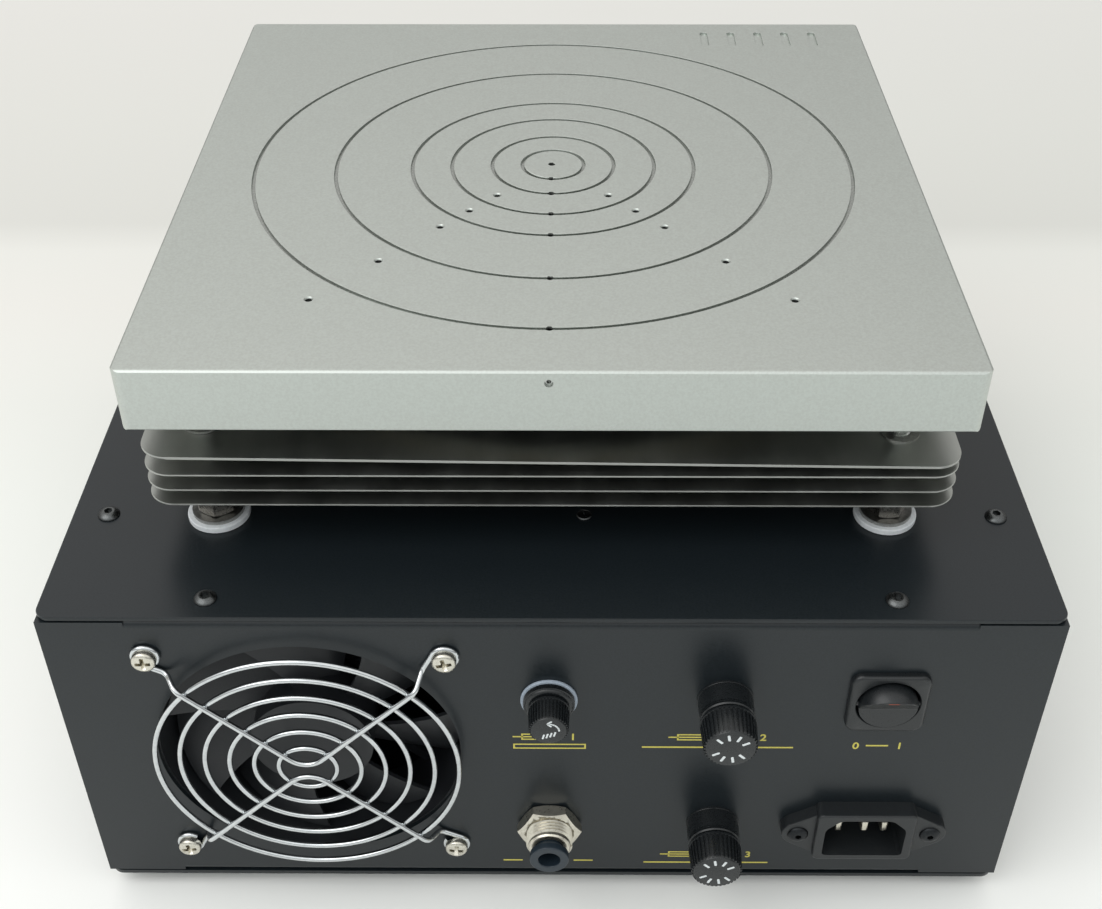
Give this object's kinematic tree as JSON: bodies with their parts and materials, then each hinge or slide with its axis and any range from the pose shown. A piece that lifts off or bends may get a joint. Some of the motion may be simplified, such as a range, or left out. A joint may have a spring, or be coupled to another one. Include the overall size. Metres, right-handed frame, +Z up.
{
  "type": "bench vacuum hot plate",
  "caption": "Square hot plate with round vacuum grooves on standoff rods over thin heat shields, on a black sheet-metal case with a fan, fuses, a switch and an inlet.",
  "frame": {"origin": "middle of the bounding box in X and Y, on the surface that the rubber feet stand on", "axes": "+Z up out of the heating surface; the connector panel in the picture faces -Y and the control panel faces +Y; +X is to the right as seen from the connector side"},
  "size_m": [0.28, 0.307, 0.183],
  "materials": {
    "black_powder_coat": "satin",
    "black_screw_steel": "satin",
    "foot_rubber": "matte",
    "zinc_steel": "satin",
    "satin_aluminium": "bead-blasted",
    "mica_heater": "matte",
    "stainless_sheet": "satin",
    "stainless_rod": "satin",
    "white_ptfe": "matte",
    "black_fan_plastic": "satin",
    "chromed_wire": "polished",
    "nickel_screw_steel": "polished",
    "black_moulded_plastic": "satin",
    "grey_seal_rubber": "matte",
    "fuse_ceramic": "satin",
    "nickel_plated_brass": "satin",
    "dark_blue_collet_plastic": "satin",
    "black_switch_plastic": "satin",
    "black_inlet_plastic": "satin",
    "cast_aluminium": "satin",
    "silicone_hose": "satin",
    "controller_plastic": "matte",
    "dark_window_plastic": "gloss",
    "grey_key_rubber": "matte",
    "polished_steel": "polished"
  },
  "bodies": {
    "hot_plate_unit": {"rear_panel": "black_powder_coat", "front_panel": "black_powder_coat", "left_panel": "black_powder_coat", "right_panel": "black_powder_coat", "lid_plate": "black_powder_coat", "base_plate": "black_powder_coat", "case_screws": "black_screw_steel", "feet": "foot_rubber", "foot_screws": "zinc_steel", "hot_plate": "satin_aluminium", "channel_plug": "stainless_rod", "heater_disc": "mica_heater", "heater_clamp": "zinc_steel", "clamp_screws": "zinc_steel", "heat_shield_1": "stainless_sheet", "heat_shield_2": "stainless_sheet", "heat_shield_3": "stainless_sheet", "heat_shield_4": "stainless_sheet", "standoff_rods": "stainless_rod", "steel_nuts": "zinc_steel", "shield_spacers": "zinc_steel", "steel_washers": "zinc_steel", "insulating_washers": "white_ptfe", "temperature_probe": "stainless_rod", "vacuum_pipe": "stainless_rod", "fan_frame": "black_fan_plastic", "fan_guard": "chromed_wire", "fan_fasteners": "nickel_screw_steel", "pump_fuse_holder": "black_moulded_plastic", "pump_fuse_seal": "grey_seal_rubber", "heater_fuse_holder": "black_moulded_plastic", "mains_fuse_holder": "black_moulded_plastic", "fuse_holder_nuts": "black_moulded_plastic", "vacuum_fitting": "nickel_plated_brass", "fitting_nut": "nickel_plated_brass", "switch_housing": "black_switch_plastic", "inlet_body": "black_inlet_plastic", "inlet_pins": "nickel_plated_brass", "inlet_screws": "black_screw_steel", "vacuum_pump": "cast_aluminium", "vacuum_valve": "cast_aluminium", "vacuum_hoses": "silicone_hose", "power_supply": "cast_aluminium", "solid_state_relay": "cast_aluminium", "controller_case": "controller_plastic", "controller_window": "dark_window_plastic", "button_bush": "polished_steel"},
    "fan_rotor": {"fan_impeller": "black_fan_plastic"},
    "rocker": {"switch_rocker": "black_switch_plastic"},
    "pump_fuse_slider": {"pump_fuse": "fuse_ceramic"},
    "pump_fuse_knob": {"pump_fuse_cap": "black_moulded_plastic"},
    "heater_fuse_slider": {"heater_fuse": "fuse_ceramic"},
    "heater_fuse_knob": {"heater_fuse_cap": "black_moulded_plastic"},
    "mains_fuse_slider": {"mains_fuse": "fuse_ceramic"},
    "mains_fuse_knob": {"mains_fuse_cap": "black_moulded_plastic"},
    "collet": {"release_collet": "dark_blue_collet_plastic"},
    "menu_key_cap": {"menu_key": "grey_key_rubber"},
    "down_key_cap": {"down_key": "grey_key_rubber"},
    "up_key_cap": {"up_key": "grey_key_rubber"},
    "vacuum_push": {"vacuum_button": "polished_steel"}
  },
  "joints": [
    {"name": "fan_spin", "type": "hinge", "parent": "hot_plate_unit", "child": "fan_rotor", "pos_m": [-0.0705, -0.1235, 0.0645], "axis": [0, 1, 0], "continuous": true},
    {"name": "rocker_tilt", "type": "hinge", "parent": "hot_plate_unit", "child": "rocker", "pos_m": [0.095, -0.1364, 0.0883], "axis": [-1, 0, 0], "range_deg": [0, 34]},
    {"name": "pump_fuse_pull", "type": "slide", "parent": "hot_plate_unit", "child": "pump_fuse_slider", "axis": [0, -1, 0], "range_m": [0, 0.021]},
    {"name": "pump_fuse_turn", "type": "hinge", "parent": "pump_fuse_slider", "child": "pump_fuse_knob", "pos_m": [-0.0005, -0.1475, 0.0883], "axis": [0, -1, 0], "range_deg": [0, 60]},
    {"name": "heater_fuse_pull", "type": "slide", "parent": "hot_plate_unit", "child": "heater_fuse_slider", "axis": [0, -1, 0], "range_m": [0, 0.033]},
    {"name": "heater_fuse_turn", "type": "hinge", "parent": "heater_fuse_slider", "child": "heater_fuse_knob", "pos_m": [0.0493, -0.1475, 0.0883], "axis": [0, -1, 0], "range_deg": [0, 60]},
    {"name": "mains_fuse_pull", "type": "slide", "parent": "hot_plate_unit", "child": "mains_fuse_slider", "axis": [0, -1, 0], "range_m": [0, 0.033]},
    {"name": "mains_fuse_turn", "type": "hinge", "parent": "mains_fuse_slider", "child": "mains_fuse_knob", "pos_m": [0.0493, -0.1475, 0.0326], "axis": [0, -1, 0], "range_deg": [0, 60]},
    {"name": "collet_push", "type": "slide", "parent": "hot_plate_unit", "child": "collet", "axis": [0, 1, 0], "range_m": [0, 0.0012], "stiffness_N_per_m": 500},
    {"name": "menu_key_press", "type": "slide", "parent": "hot_plate_unit", "child": "menu_key_cap", "axis": [0, -1, 0], "range_m": [0, 0.0006], "stiffness_N_per_m": 300},
    {"name": "down_key_press", "type": "slide", "parent": "hot_plate_unit", "child": "down_key_cap", "axis": [0, -1, 0], "range_m": [0, 0.0006], "stiffness_N_per_m": 300},
    {"name": "up_key_press", "type": "slide", "parent": "hot_plate_unit", "child": "up_key_cap", "axis": [0, -1, 0], "range_m": [0, 0.0006], "stiffness_N_per_m": 300},
    {"name": "vacuum_button_press", "type": "slide", "parent": "hot_plate_unit", "child": "vacuum_push", "axis": [0, -1, 0], "range_m": [0, 0.002], "stiffness_N_per_m": 300}
  ]
}
